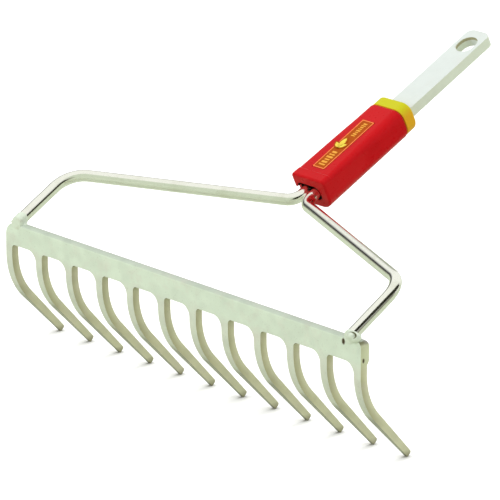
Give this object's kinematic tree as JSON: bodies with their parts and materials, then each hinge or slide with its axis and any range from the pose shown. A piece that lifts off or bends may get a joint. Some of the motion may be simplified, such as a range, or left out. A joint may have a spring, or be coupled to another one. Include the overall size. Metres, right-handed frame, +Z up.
{
  "type": "bow rake head",
  "caption": "Bow rake head with curved steel tines, bent steel rods, a red plastic sleeve with a yellow collar, and a flat slotted tang that takes a change-over handle.",
  "frame": {"origin": "on the floor that the tine tips stand on, under the middle of the whole head's box", "axes": "+X along the comb, from the left tine to the right one seen from the front; +Y from the comb towards the handle; +Z up. The handle axis lies in the YZ plane and rises 25.3 degrees towards +Y"},
  "size_m": [0.297, 0.2498, 0.1752],
  "materials": {
    "galvanised_steel": "galvanised, pale grey-green, faintly mottled, semi-matte",
    "bright_plated_steel": "bright plated round bar, mirror-like along its length",
    "weld_metal": "rippled weld metal under the same plating",
    "zinc_plated_tang": "pale zinc plating, smooth, satin",
    "red_plastic": "glossy moulded red",
    "yellow_plastic": "smooth moulded yellow, semi-gloss",
    "label_print": "printed film, orange-brown field with a lighter border"
  },
  "bodies": {
    "root": {"tine_comb": "galvanised_steel", "left_bow_rod": "bright_plated_steel", "right_bow_rod": "bright_plated_steel", "left_weld_bead": "weld_metal", "right_weld_bead": "weld_metal", "neck_weld": "weld_metal", "tang": "zinc_plated_tang", "sleeve": "red_plastic", "collar": "yellow_plastic", "label_inlay": "label_print"}
  },
  "joints": []
}
